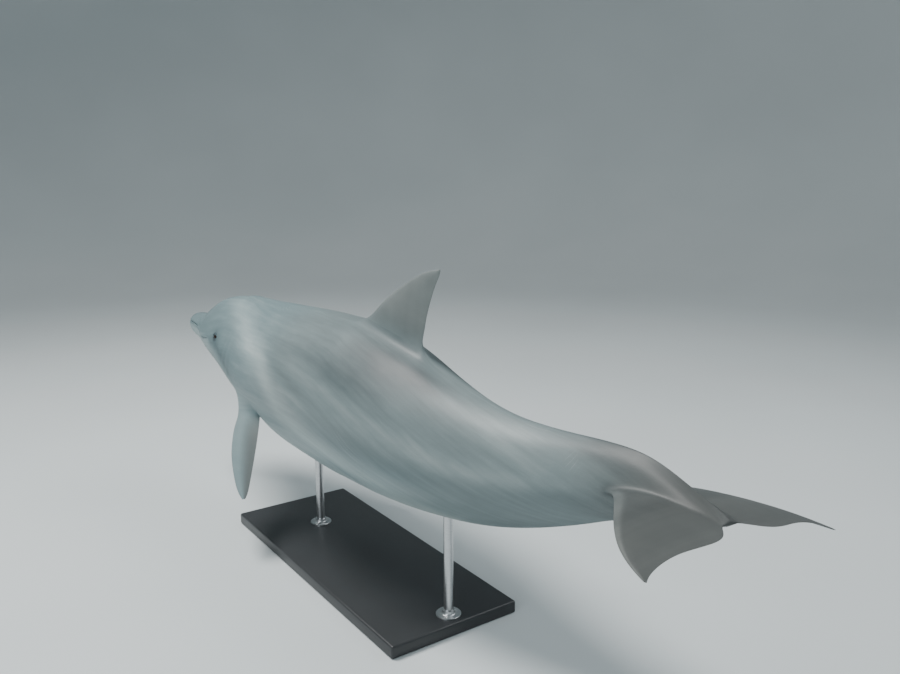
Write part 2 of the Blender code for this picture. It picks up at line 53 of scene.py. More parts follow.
# station, height of back above spine, depth of belly below it, half width
BODY = (
    (0.000, 0.0035, 0.0075, 0.0030),  # beak tip
    (0.0022, 0.0074, 0.0122, 0.0078),
    (0.0065, 0.0110, 0.0170, 0.0124),
    (0.012, 0.0133, 0.0198, 0.0153),
    (0.020, 0.0152, 0.0222, 0.0172),
    (0.044, 0.0205, 0.0270, 0.0212),  # beak root
    (0.060, 0.0370, 0.0300, 0.0275),  # foot of the melon
    (0.075, 0.0500, 0.0340, 0.0350),
    (0.095, 0.0615, 0.0375, 0.0432),  # melon
    (0.120, 0.0695, 0.0425, 0.0508),  # corner of the mouth
    (0.150, 0.0770, 0.0490, 0.0575),  # blowhole
    (0.200, 0.0850, 0.0620, 0.0680),  # neck
    (0.270, 0.0955, 0.0780, 0.0795),  # shoulder
    (0.350, 0.1030, 0.0892, 0.0865),
    (0.450, 0.1055, 0.0930, 0.0880),  # greatest girth
    (0.550, 0.0980, 0.0865, 0.0790),
    (0.650, 0.0825, 0.0700, 0.0600),
    (0.750, 0.0630, 0.0500, 0.0390),  # tail stock
    (0.850, 0.0435, 0.0320, 0.0225),
    (0.900, 0.0325, 0.0235, 0.0172),
    (0.925, 0.0235, 0.0175, 0.0160),
    (0.950, 0.0150, 0.0120, 0.0148),
    (0.975, 0.0058, 0.0050, 0.0125),
    (1.000, 0.0010, 0.0010, 0.0085),  # fluke notch
)
# station, height of the widest level above the spine
WAIST = ((0.0, -0.003), (0.05, -0.004), (0.12, -0.002), (0.25, 0.0), (0.5, 0.004),
         (0.75, 0.005), (0.84, 0.003), (0.9, 0.0005), (1.0, 0.0))
# station, how keeled the back and belly are: 0 round, 1 sharp
KEEL = ((0.0, 0.0), (0.5, 0.02), (0.62, 0.18), (0.75, 0.42), (0.87, 0.6), (0.93, 1.1),
        (1.0, 0.9))

# how the spine bends, radians per body length: down towards the tail, and sideways
PITCH_BEND = ((0.0, 0.54), (0.1, 0.36), (0.22, -0.75), (0.36, -0.96), (0.5, 1.67),
              (0.62, -1.2), (0.74, -2.2), (0.82, -0.98), (0.875, 2.88), (0.92, 3.82),
              (0.945, 0.0), (1.0, 0.0))
YAW_BEND = ((0.0, -0.32), (0.15, -0.54), (0.35, -0.71), (0.55, 0.62), (0.75, 0.35),
            (0.92, -1.28), (1.0, -0.47))
TAIL_TWIST = -0.118         # roll of the tail against the trunk, radians
HEAD_ROLL = -0.3            # roll of the head against the trunk: its left side up
LEVEL_STATION = 0.45        # the spine is level and straight ahead here

# rings of the cage: 20 points around, numbered from the back over the right side
AROUND = 20
GAPE_STATION = 0.1185
STATIONS = (0.0022, 0.0065, 0.014, 0.026, 0.039, 0.05, 0.058, 0.068, 0.084, 0.102,
            GAPE_STATION, 0.129, 0.146, 0.164, 0.185, 0.212, 0.241, 0.256, 0.271, 0.286,
            0.301, 0.345, 0.4, 0.465, 0.498, 0.531, 0.563, 0.594, 0.63, 0.69, 0.75, 0.805,
            0.842, 0.862, 0.895, 0.927, 0.958, 0.985)
# heights of the mouth line and of the eye line on the head
MOUTH_LINE = ((0.0, -0.003), (0.03, -0.003), (0.055, -0.0075), (0.08, -0.0115),
              (0.1, -0.01), (0.118, -0.0055), (0.13, -0.0065), (0.155, -0.008))
EYE_LINE = ((0.0, 0.0025), (0.05, 0.005), (0.1, 0.007), (0.16, 0.0055))
MOUTH_RING = 5
EYE_RING = 4
EYE_STATION = 0.146
EYE_BLOCK = (0.129, 0.164)

# ---- fins ----
# dorsal fin, root to tip: station and height of the front edge, then the rear; thickness
DORSAL = (
    (0.483, 0.114, 0.581, 0.1065, 0.044), (0.502, 0.132, 0.5815, 0.121, 0.035),
    (0.522, 0.151, 0.584, 0.141, 0.027), (0.545, 0.1695, 0.5885, 0.161, 0.02),
    (0.569, 0.186, 0.594, 0.178, 0.014), (0.588, 0.1938, 0.599, 0.189, 0.009),
    (0.5985, 0.1965, 0.6005, 0.195, 0.005),
)
DORSAL_STATIONS = (0.465, 0.594)

# flukes, root to tip: station and half span of the front edge, then the rear; thickness
FLUKE = (
    (0.869, 0.0206, 0.9885, 0.013, 0.034), (0.8865, 0.0292, 0.9995, 0.031, 0.028),
    (0.9075, 0.0492, 1.001, 0.054, 0.023), (0.9315, 0.0755, 0.998, 0.076, 0.019),
    (0.956, 0.098, 0.9975, 0.0945, 0.015), (0.977, 0.111, 0.9995, 0.1085, 0.011),
    (0.993, 0.1178, 1.0025, 0.117, 0.007), (1.001, 0.1205, 1.0045, 0.1205, 0.004),
)
FLUKE_STATIONS = (0.862, 0.985)
FLUKE_DROOP = 0.0155        # how far the tips hang below the root
FLUKE_PLANE_STATION = 0.94

# flippers, root to tip, in blade lengths along and across: the same, but thickness in metres
FLIPPER_LENGTH = 0.328
FLIPPER = (
    (0.05, -0.16, 0.05, 0.15, 0.04), (0.15, -0.18, 0.15, 0.173, 0.034),
    (0.3, -0.172, 0.3, 0.198, 0.028), (0.48, -0.13, 0.48, 0.218, 0.022),
    (0.66, -0.05, 0.66, 0.232, 0.017), (0.82, 0.04, 0.82, 0.242, 0.013),
    (0.93, 0.124, 0.93, 0.243, 0.009), (0.985, 0.182, 0.985, 0.227, 0.005),
)
FLIPPER_STATIONS = (0.241, 0.301)
FLIPPER_RING = 7
FLIPPER_ANGLE = 2.25        # where the root sits, measured round from the back
FLIPPER_SWEEP = 0.55        # back from square to the body
FLIPPER_DROP = 0.95         # below level

# ---- face ----
EYE_RADIUS = 0.0165
EYE_PROUD = 0.0022          # how far the ball stands out of the head
# lip profile from the upper jaw through the groove to the lower: rise along the skin, lift
LIPS = ((0.0068, 0.0012), (0.0014, 0.0002), (0.0, -0.0062), (-0.0014, -0.0006),
        (-0.0062, 0.0008))
# eyelid loops, the last two laid over the ball: half length, half height, lift above and
# below the eye, lift at the corners
EYELIDS = ((0.0295, 0.0205, 0.0, 0.0), (0.0238, 0.0146, 0.0, -0.0002),
           (0.02, 0.0112, 0.0023, 0.0004), (0.0163, 0.0081, 0.0028, -0.0004),
           (0.0147, 0.007, 0.0014, -0.0022))
LIDS_ON_SKIN = 3
LID_DROOP = (0.92, 1.06)    # height of the upper and lower lid against the table's
# loops of the socket behind the lids: radius, distance outward from the ball's centre
SOCKET = ((0.0142, 0.0095), (0.0174, 0.0), (0.0124, -0.0124))
SOCKET_DEPTH = 0.0176
# blowhole loops: half length, half width, lift, how far the ends turn forward
BLOWHOLE = ((0.026, 0.036, 0.0, 0.0), (0.017, 0.0275, 0.0018, 0.003),
            (0.0092, 0.0205, 0.002, 0.005), (0.0042, 0.017, -0.0008, 0.006),
            (0.0024, 0.015, -0.0062, 0.006))
BLOWHOLE_DEPTH = 0.008

# ---- the stand ----
BASE_SIZE = (1.0, 0.4, 0.036)
BASE_ROUNDING = 0.006
ROD_RADIUS = 0.013
ROD_SUNK = 0.0015           # depth of a rod's end in the belly
ROD_STATIONS = (("front", 0.345), ("rear", 0.65))
BORE = ROD_RADIUS + 0.0003
# half section of a collar: distance outside its bore, height above the base
COLLAR_PROFILE = ((0.0, 0.0), (0.0207, 0.0), (0.0207, 0.0034), (0.0199, 0.0042),
                  (0.0072, 0.0055), (0.0056, 0.0066), (0.0046, 0.0085), (0.0042, 0.015),
                  (0.0034, 0.016), (0.0, 0.016))
BELLY_HEIGHT = 0.3          # of the belly at LEVEL_STATION, above the floor
STAND_X = 0.02              # base centre, tailward of LEVEL_STATION

SIDES = (("left", -1), ("right", 1))


def smooth_table(table, column=1):
    """Monotone cubic through a table: returns a function of the station."""
    x, y = np.array([(row[0], row[column]) for row in table], float).T
    h = np.diff(x)
    d = np.diff(y) / h
    m = np.zeros_like(y)
    m[0], m[-1] = d[0], d[-1]
    for i in range(1, len(d)):
        if d[i - 1] * d[i] > 0:
            w1, w2 = 2 * h[i] + h[i - 1], h[i] + 2 * h[i - 1]
            m[i] = (w1 + w2) / (w1 / d[i - 1] + w2 / d[i])

    def value(s):
        s = min(max(s, x[0]), x[-1])
        i = min(int(np.searchsorted(x, s, side="right")) - 1, len(h) - 1)
        t = (s - x[i]) / h[i]
        a = (1 + 2 * t) * (1 - t) ** 2
        b = t * (1 - t) ** 2
        c = t * t * (3 - 2 * t)
        e = t * t * (t - 1)
        return float(a * y[i] + b * h[i] * m[i] + c * y[i + 1] + e * h[i] * m[i + 1])
    return value


back_of = smooth_table(BODY, 1)
belly_of = smooth_table(BODY, 2)
width_of = smooth_table(BODY, 3)
waist_of = smooth_table(WAIST)
keel_of = smooth_table(KEEL)
mouth_of = smooth_table(MOUTH_LINE)
eye_line_of = smooth_table(EYE_LINE)


def ease(a, b, s):
    """0 before a, 1 after b, smooth between; numbers or arrays."""
    t = np.clip((np.asarray(s, float) - a) / (b - a), 0.0, 1.0)
    return t * t * (3 - 2 * t)


# ---- the spine ----
def bend_spine(steps=400):
    """Integrate the bends into points and frames (tailward, right, up)."""
    s = np.linspace(0.0, 1.0, steps + 1)
    level = round(LEVEL_STATION * steps)

    def summed(rate):
        """Running total along the body, from nothing at the level station."""
        total = np.cumsum((rate[1:] + rate[:-1]) / 2 * s[1], 0)
        total = np.concatenate([rate[:1] * 0, total])
        return total - total[level]

    p, q = (summed(np.interp(s, *np.array(bend).T)) for bend in (PITCH_BEND, YAW_BEND))
    tail = np.stack([np.cos(p) * np.cos(q), np.cos(p) * np.sin(q), -np.sin(p)], -1)
    up = np.stack([np.sin(p) * np.cos(q), np.sin(p) * np.sin(q), np.cos(p)], -1)
    right = np.cross(up, tail)
    roll = TAIL_TWIST * np.clip((s - LEVEL_STATION) / 0.5, 0, 1)
    roll = roll + HEAD_ROLL * ease(0.0, 1.0, (0.30 - s) / 0.20)
    c, n = np.cos(roll)[:, None], np.sin(roll)[:, None]
    right, up = c * right + n * up, c * up - n * right
    return s, summed(tail) * LENGTH, tail, right, up


SPINE = bend_spine()
LIFT = BELLY_HEIGHT + belly_of(LEVEL_STATION) * GIRTH * LENGTH


def frame_at(station):
    """Point on the spine and its three directions."""
    s, *fields = SPINE
    inside = min(max(station, 0.0), 1.0)
    place, t, r, u = (Vector([float(np.interp(inside, s, field[:, k])) for k in range(3)])
                      for field in fields)
    place = place + t * (station - inside) * LENGTH + Vector((-STAND_X, 0, LIFT))
    return place, t.normalized(), r.normalized(), u.normalized()


def put(station, side, height):
    """World point at a station, from side and height in body lengths."""
    place, _, r, u = frame_at(station)
    return place + r * (side * LENGTH) + u * (height * LENGTH)


def reach_of(station, above):
    """Height of the back above the widest level, or depth of the belly below it."""
    waist = waist_of(station)
    return back_of(station) * GIRTH - waist if above else belly_of(station) * GIRTH + waist


def section(station, angle):
    """Side and height of the skin at an angle round from the back."""
    sine, cosine = sin(angle), cos(angle)
    keel = abs(sine) ** (1 + keel_of(station))
    side = width_of(station) * GIRTH * copysign(keel, sine)
    return side, waist_of(station) + reach_of(station, cosine > 0) * cosine


def angle_at_height(station, height):
    """Angle round from the back at which the skin has a given height."""
    rise = height - waist_of(station)
    return acos(max(-1.0, min(1.0, rise / reach_of(station, rise > 0))))


def ring_angles(station):
    """Angles of rings 0 to 10 on the right side, from the back to the belly."""
    even = [pi * k / 10 for k in range(11)]
    head = 1 - ease(0.165, 0.225, station)
    mouth = angle_at_height(station, mouth_of(station))
    eye = angle_at_height(station, eye_line_of(station))
    turned = np.interp(range(11), (0, EYE_RING, MOUTH_RING, 10), (0.0, eye, mouth, pi))
    angles = [float(e + (t - e) * head) for e, t in zip(even, turned)]
    fin = ease(0.38, 0.46, station) * (1 - ease(0.60, 0.67, station))
    limb = ease(0.185, 0.235, station) * (1 - ease(0.305, 0.36, station))
    for ring, angle, pull in ((1, 0.155, fin), (2, 0.46, fin), (5, 1.66, limb * 0.6),
                              (6, FLIPPER_ANGLE - 0.20, limb), (7, FLIPPER_ANGLE, limb),
                              (8, FLIPPER_ANGLE + 0.20, limb), (9, 2.78, limb * 0.6)):
        angles[ring] += (angle - angles[ring]) * pull
    return angles


def ring_angle(station, ring):
    """Angle of any ring; those past the belly are the left side's."""
    angles = ring_angles(station)
    return angles[ring] if ring <= AROUND // 2 else -angles[AROUND - ring]


def sided(ring, side):
    """Number of a ring on the right side, or of its twin on the left."""
    return ring if side > 0 else AROUND - ring


def skin_point(station, angle):
    return put(station, *section(station, angle))


def on_skin(station, angle):
    """Point of the skin, its outward direction and the direction of growing angle."""
    along, turn = 0.002, 0.01
    tailward = skin_point(station + along, angle) - skin_point(station - along, angle)
    around = skin_point(station, angle + turn) - skin_point(station, angle - turn)
    point = skin_point(station, angle)
    normal = tailward.cross(around).normalized()
    if normal.dot(point - frame_at(station)[0]) < 0:
        normal = -normal
    return point, normal, around.normalized()


# ---- the cage ----
class Cage:
    """Points the skin passes through, what each knows of the body, and faces."""

    def __init__(self):
        self.points = []
        self.marks = []         # rows in the order of MARKS
        self.straight = []      # place on the straightened body
        self.faces = []
        self.loose = set()      # points left to the smoothing

    def vert(self, point, station, angle, straight=None, fin=0.0, span=0.0, chord=0.0):
        if straight is None:
            side, height = section(station, angle)
            straight = (station * LENGTH, side * LENGTH, height * LENGTH)
        self.points.append(tuple(point))
        self.marks.append((station, sin(angle), cos(angle), fin, span, chord))
        self.straight.append(tuple(straight))
        return len(self.points) - 1

    def drop_unused(self):
        """Forget points that no face uses, such as those inside a fin."""
        used = sorted({v for corners in self.faces for v in corners})
        index = {v: i for i, v in enumerate(used)}
        for column in (self.points, self.marks, self.straight):
            column[:] = [column[v] for v in used]
        self.loose = {index[v] for v in self.loose if v in index}
        self.faces = [tuple(index[v] for v in corners) for corners in self.faces]

    def sheet(self, rows):
        """Faces between rows of the same length."""
        for a, b in zip(rows, rows[1:]):
            for k in range(len(a) - 1):
                self.faces.append((a[k], a[k + 1], b[k + 1], b[k]))

    def bridge(self, outer, inner):
        """Faces between two loops of the same length."""
        self.sheet([outer + outer[:1], inner + inner[:1]])

    def sink(self, border, loops, end):
        """Faces from a border of eight through loops to one closing point."""
        for loop in loops:
            self.bridge(border, loop)
            border = loop
        for k in range(0, 8, 2):
            self.faces.append((border[k], border[k + 1], border[(k + 2) % 8], end))


def lip_strip(cage, station, angle, point, normal, rise, size):
    """The five points across the mouth line at one place, upper jaw first."""
    return [cage.vert(point + (rise * up + normal * lift) * size, station, angle)
            for up, lift in LIPS]


def body_rings(cage):
    """Rings of the body, and the lip points that stand for the mouth line's ring."""
    rings, lips = [], {}
    gape = STATIONS.index(GAPE_STATION)
    for i, station in enumerate(STATIONS):
        ring = []
        for k in range(AROUND):
            angle = ring_angle(station, k)
            if k in (MOUTH_RING, AROUND - MOUTH_RING) and i < gape:
                point, normal, around = on_skin(station, angle)
                rise = -around if k == MOUTH_RING else around
                size = 1.0 - 0.35 * float(ease(0.08, 0.115, station))
                size *= 0.75 + 0.25 * float(ease(0.0, 0.014, station))
                strip = lip_strip(cage, station, angle, point, normal, rise, size)
                lips[(i, k)] = strip
                ring.append(strip[2])
            else:
                ring.append(cage.vert(skin_point(station, angle), station, angle))
        rings.append(ring)
    return rings, lips


def corner(rings, lips, i, k, cell):
    """The point of ring k a cell uses: the cell's own lip where the mouth parts it."""
    k = k % AROUND
    strip = lips.get((i, k))
    if strip is None:
        return rings[i][k]
    return strip[0] if cell in (MOUTH_RING - 1, AROUND - MOUTH_RING) else strip[-1]


def block_of(rings, holes, first, last, middle):
    """Rows of a block of the cage, three rings wide, whose cells are left open."""
    a, b = STATIONS.index(first), STATIONS.index(last)
    holes.update((i, k % AROUND) for i in range(a, b) for k in (middle - 1, middle))
    return [[rings[i][(middle + k) % AROUND] for k in (-1, 0, 1)] for i in range(a, b + 1)]


def outline(grid):
    """Border of a grid three wide, as one loop."""
    near, middle, far = zip(*grid)
    return [*near, middle[-1], *far[::-1], middle[0]]


def beak_cap(cage, rings, lips):
    """Close the front ring with a patch four faces high and six wide."""
    left_lip, right_lip = (lips[(0, sided(MOUTH_RING, side))] for _, side in SIDES)
    cage.loose.update(*rings[:3], *(lips[at] for at in lips if at[0] < 3))
    ring = rings[0]
    top = [ring[k % AROUND] for k in range(17, 24)]
    bottom = [ring[k] for k in range(13, 6, -1)]
    left = [ring[k] for k in range(17, 12, -1)]
    right = [ring[k] for k in range(3, 8)]
    spot = [Vector(p) for p in cage.points]
    _, tail, _, up = frame_at(0.0)
    heart = put(0.016, 0, mouth_of(0.016))
    upper, lower = [top], []
    for j in (1, 2, 3):
        v = j / 4
        made = []
        for i in range(1, 6):
            u = i / 6
            flat = (spot[top[i]] * (1 - v) + spot[bottom[i]] * v
                    + spot[left[j]] * (1 - u) + spot[right[j]] * u) / 2
            dome = 16 * u * (1 - u) * v * (1 - v)
            bulge = 0.0040 if j == 3 else 0.0026        # the chin stands out further
            point = flat - tail * (bulge * dome * LENGTH)
            turn = (u - 0.5) * (pi if j == 2 else 2.2)
            angle = pi - turn if j == 3 else turn
            if j == 2:
                normal = (point - heart).normalized()
                point = point + tail * 0.002
                made.append(lip_strip(cage, 0.0, angle, point, normal, up, 0.72))
            else:
                made.append([cage.vert(point, 0.0, angle)])
            cage.loose.update(made[-1])
        if j == 2:
            mouth = [left_lip] + made + [right_lip]
            upper.append([strip[0] for strip in mouth])
            lower.append([strip[-1] for strip in mouth])
        else:
            row = [left[j]] + [spots[0] for spots in made] + [right[j]]
            (upper if j == 1 else lower).append(row)
    cage.sheet(upper)
    cage.sheet(lower + [bottom])
    return mouth


def mouth_groove(cage, rings, lips, front):
    """Join the lip points into the groove between the jaws, gape to gape."""
    gape = STATIONS.index(GAPE_STATION)
    left, right = (sided(MOUTH_RING, side) for _, side in SIDES)
    chain = [lips[(i, left)] for i in range(gape - 1, 0, -1)] + front
    chain += [lips[(i, right)] for i in range(1, gape)]
    cage.sheet(chain)
    for strip, ring in ((chain[0], left), (chain[-1], right)):
        for a, b in zip(strip, strip[1:]):
            cage.faces.append((a, b, rings[gape][ring]))


def tail_cap(cage, ring):
    """Close the last ring across its thin edge."""
    upper = [ring[k % AROUND] for k in range(15, 26)]
    lower = [ring[k] for k in range(15, 4, -1)]
    cage.loose.update(ring)
    for i in range(10):
        corners = (upper[i], upper[i + 1], lower[i + 1], lower[i])
        cage.faces.append(tuple(dict.fromkeys(corners)))    # the end ones are triangles


# ---- fins ----
def grow(cage, block, sections, station, angle):
    """Draw a fin's sections out of an open block of the skin."""
    last = outline(block)
    cage.loose.update(last)
    for step, points in enumerate(sections, 1):
        span = step / len(sections)
        rows = [[cage.vert(spot, station or straight[0] / LENGTH, angle, straight, 1.0,
                           span, chord) for spot, straight, chord in row] for row in points]
        loop = outline(rows)
        cage.bridge(last, loop)
        last = loop
        if step == 1:
            cage.loose.update(loop)
    cage.sheet(rows)


def swell(c):
    """Half thickness of a fin's section along its chord: round in front, fine behind."""
    shape = 2.6 * (sqrt(c) * (1 - c) * 0.62 + 0.07 * c * (1 - c))
    return 0.5 * max(shape, 0.16)


def blades(table, count, build):
    """Sections of a fin, root to tip: points over the front, both faces and the rear edge."""
    stops = [0.07 + 0.86 * (i / (count - 1)) ** 1.1 for i in range(count)]
    sections = []
    for x0, y0, x1, y1, depth in table:
        rows = []
        for i, c in enumerate(stops):
            edge = {0: 0.0, count - 1: 1.0}.get(i, c)
            half = depth * swell(c)
            rows.append([(*build(x0 + (x1 - x0) * at, y0 + (y1 - y0) * at, lift), at)
                         for at, lift in ((c, half), (edge, 0.0), (c, -half))])
        sections.append(rows)
    return sections


def dorsal_sections(count):
    def build(station, height, half):
        spot = put(station, -half / LENGTH, height * GIRTH)
        return spot, (station * LENGTH, -half, height * GIRTH * LENGTH)
    return blades(DORSAL, count, build)


def fluke_sections(side, count):
    place, t, r, u = frame_at(FLUKE_PLANE_STATION)

    def build(station, span, half):
        plane = place + t * ((station - FLUKE_PLANE_STATION) * LENGTH)
        bent, _, br, bu = frame_at(station)
        near = float(ease(0.02, 0.05, span))
        spot = bent.lerp(plane, near) + br.lerp(r, near) * (side * span * LENGTH)
        droop = FLUKE_DROOP * (span / 0.12) ** 2.6
        up = bu.lerp(u, near)
        straight = (station * LENGTH, side * span * LENGTH, side * half)
        return spot + up * (side * half - droop * LENGTH), straight
    return blades(FLUKE, count, build)


def flipper_sections(side, count):
    station = sum(FLIPPER_STATIONS) / 2
    _, t, r, u = frame_at(station)
    across, height = section(station, side * FLIPPER_ANGLE)
    root = put(station, across, height)
    level = r * (side * cos(FLIPPER_DROP)) - u * sin(FLIPPER_DROP)
    along = t * sin(FLIPPER_SWEEP) + level * cos(FLIPPER_SWEEP)
    chord = t * cos(FLIPPER_SWEEP) - level * sin(FLIPPER_SWEEP)
    face = chord.cross(along)

    def build(x, y, half):
        step = along * (x * FLIPPER_LENGTH) + chord * (y * FLIPPER_LENGTH) + face * half
        straight = (station * LENGTH + step.dot(t), across * LENGTH + step.dot(r),
                    height * LENGTH + step.dot(u))
        return root + step, straight
    return blades(FLIPPER, count, build)


# ---- eyes and blowhole ----
# the eight border points of a block, as turns about its middle: 0 is tailward
TURNS = [radians(45 * k - 135) for k in range(8)]
EYE_ANGLE = angle_at_height(EYE_STATION, eye_line_of(EYE_STATION))


def eye_place(side):
    """Centre of an eyeball, its outward direction, tailward and round directions."""
    skin, out, around = on_skin(EYE_STATION, side * EYE_ANGLE)
    along = around.cross(out).normalized()
    if along.dot(frame_at(EYE_STATION)[1]) < 0:
        along = -along
    return skin - out * (EYE_RADIUS - EYE_PROUD), out, along, around


def skin_loop(cage, angle, half, tall, sides, ends, swing=0.0):
    """Eight points of the skin level with the eye: an ellipse, lifted and bent forward."""
    step = 0.05
    reach = (skin_point(EYE_STATION, angle + step)
             - skin_point(EYE_STATION, angle - step)).length / (2 * step)
    loop = []
    for turn in TURNS:
        c, n = cos(turn), sin(turn)
        s = EYE_STATION + (half * c - swing * n * n) / LENGTH
        a = angle + tall * n / reach
        point, normal, _ = on_skin(s, a)
        loop.append(cage.vert(point + normal * (sides * n * n + ends * c * c), s, a))
    return loop


def eye_socket(cage, block, side):
    """Eyelids and the socket behind them."""
    angle = side * EYE_ANGLE
    centre, out, along, around = eye_place(side)

    def ball_loop(half, tall, sides, ends):
        """Eight points about the ball: an ellipse and how far out it lies."""
        loop = []
        for turn in TURNS:
            c, n = cos(turn), sin(turn)
            spot = (centre + along * (half * c) + around * (tall[n * side > 0] * n)
                    + out * (sides * n * n + ends * c * c))
            loop.append(cage.vert(spot, EYE_STATION, angle))
        return loop

    loops = [skin_loop(cage, angle, *row) for row in EYELIDS[:LIDS_ON_SKIN]]
    surface = EYE_RADIUS - EYE_PROUD
    for half, tall, sides, ends in EYELIDS[LIDS_ON_SKIN:]:
        lids = [tall * droop for droop in LID_DROOP]
        loops.append(ball_loop(half, lids, surface + sides, surface + ends))
    for radius, depth in SOCKET:
        loops.append(ball_loop(radius, (radius, radius), depth, depth))
    end = cage.vert(centre - out * SOCKET_DEPTH, EYE_STATION, angle)
    cage.sink(outline(block), loops, end)


def blowhole(cage, block):
    """A crescent slit with raised rims, its ends turned forward."""
    loops = [skin_loop(cage, 0.0, half, wide, lift, lift, swing)
             for half, wide, lift, swing in BLOWHOLE]
    point, normal, _ = on_skin(EYE_STATION - 0.001, 0.0)
    end = cage.vert(point - normal * BLOWHOLE_DEPTH, EYE_STATION, 0.0)
    cage.sink(outline(block), loops, end)


# ---- smoothing ----
def reach_targets(points, faces, loose, rounds=16):
    """Push the cage out until the smooth surface passes through all but loose points.

    A point of a Catmull-Clark surface is a mean of its cage point, that point's
    neighbours and the middles of its faces, so one matrix gives the whole surface.
    """
    count = len(points)
    touch = np.zeros((len(faces), count))
    near = np.zeros((count, count))
    for j, corners in enumerate(faces):
        touch[j, list(corners)] = 1
        for a, b in zip(corners, corners[1:] + corners[:1]):
            near[a, b] = near[b, a] = 1
    middles = touch / touch.sum(1, keepdims=True)
    n = touch.sum(0)
    limit = 4 * touch.T @ middles + 2 * near + np.diag(n * (n - 1))
    limit /= (n * (n + 5))[:, None]
    grip = np.full((count, 1), 0.8)
    grip[sorted(loose)] = 0.0
    target = np.array(points, float)
    cage = target.copy()
    for _ in range(rounds):
        cage = cage + grip * (target - limit @ cage)
    return cage


def dolphin_cage():
    cage = Cage()
    rings, lips = body_rings(cage)
    holes = set()
    dorsal = block_of(rings, holes, *DORSAL_STATIONS, 0)
    grow(cage, dorsal, dorsal_sections(len(dorsal)), None, 0.0)
    for _, side in SIDES:
        fluke = block_of(rings, holes, *FLUKE_STATIONS, sided(MOUTH_RING, side))
        grow(cage, fluke, fluke_sections(side, len(fluke)), None, side * pi / 2)
        limb = block_of(rings, holes, *FLIPPER_STATIONS, sided(FLIPPER_RING, side))
        grow(cage, limb, flipper_sections(side, len(limb)), sum(FLIPPER_STATIONS) / 2,
             side * FLIPPER_ANGLE)
        eye_socket(cage, block_of(rings, holes, *EYE_BLOCK, sided(EYE_RING, side)), side)
    blowhole(cage, block_of(rings, holes, *EYE_BLOCK, 0))
    for i in range(len(rings) - 1):
        for k in range(AROUND):
            if (i, k) not in holes:
                square = ((i, k), (i, k + 1), (i + 1, k + 1), (i + 1, k))
                cage.faces.append(tuple(corner(rings, lips, *at, k) for at in square))
    front = beak_cap(cage, rings, lips)
    mouth_groove(cage, rings, lips, front)
    tail_cap(cage, rings[-1])
    cage.drop_unused()
    return cage


MARKS = ("station", "sine", "cosine", "fin", "span", "chord")


def mesh_of(bm, name):
    """Finish a bmesh into a new mesh."""
    mesh = bpy.data.meshes.new(name)
    bm.to_mesh(mesh)
    bm.free()
    return mesh


def turn_outward(mesh):
    """Turn the faces of a closed mesh outward."""
    bm = bmesh.new()
    bm.from_mesh(mesh)
    bmesh.ops.recalc_face_normals(bm, faces=bm.faces)
    if bm.calc_volume(signed=True) < 0:
        bmesh.ops.reverse_faces(bm, faces=bm.faces)
    bm.to_mesh(mesh)
    bm.free()


def add_object(name, data):
    made = bpy.data.objects.new(name, data)
    bpy.context.scene.collection.objects.link(made)
    return made


def field_of(mesh, name):
    values = np.zeros(len(mesh.vertices), np.float32)
    mesh.attributes[name].data.foreach_get("value", values)
    return values.astype(float)


def set_field(mesh, name, values):
    """Give each point of a mesh a number, or a row of three."""
    values = np.asarray(values, np.float32)
    kind, key = ("FLOAT", "value") if values.ndim == 1 else ("FLOAT_VECTOR", "vector")
    mesh.attributes.new(name, kind, "POINT").data.foreach_set(key, values.ravel())


def smooth_form(level=3):
    """The animal as one fine closed mesh, with what its points know of the body."""
    cage = dolphin_cage()
    mesh = bpy.data.meshes.new("dolphin_cage")
    points = reach_targets(cage.points, cage.faces, cage.loose)
    mesh.from_pydata([tuple(p) for p in points], [], cage.faces)
    for name, values in zip(MARKS, np.array(cage.marks).T):
        set_field(mesh, name, values)
    set_field(mesh, "straight", cage.straight)
    turn_outward(mesh)
    form = add_object("dolphin_cage", mesh)
    soften = form.modifiers.new("soften", "SUBSURF")
    soften.levels = soften.render_levels = level
    depsgraph = bpy.context.evaluated_depsgraph_get()
    fine = bpy.data.meshes.new_from_object(form.evaluated_get(depsgraph))
    bpy.data.objects.remove(form, do_unlink=True)
    return fine


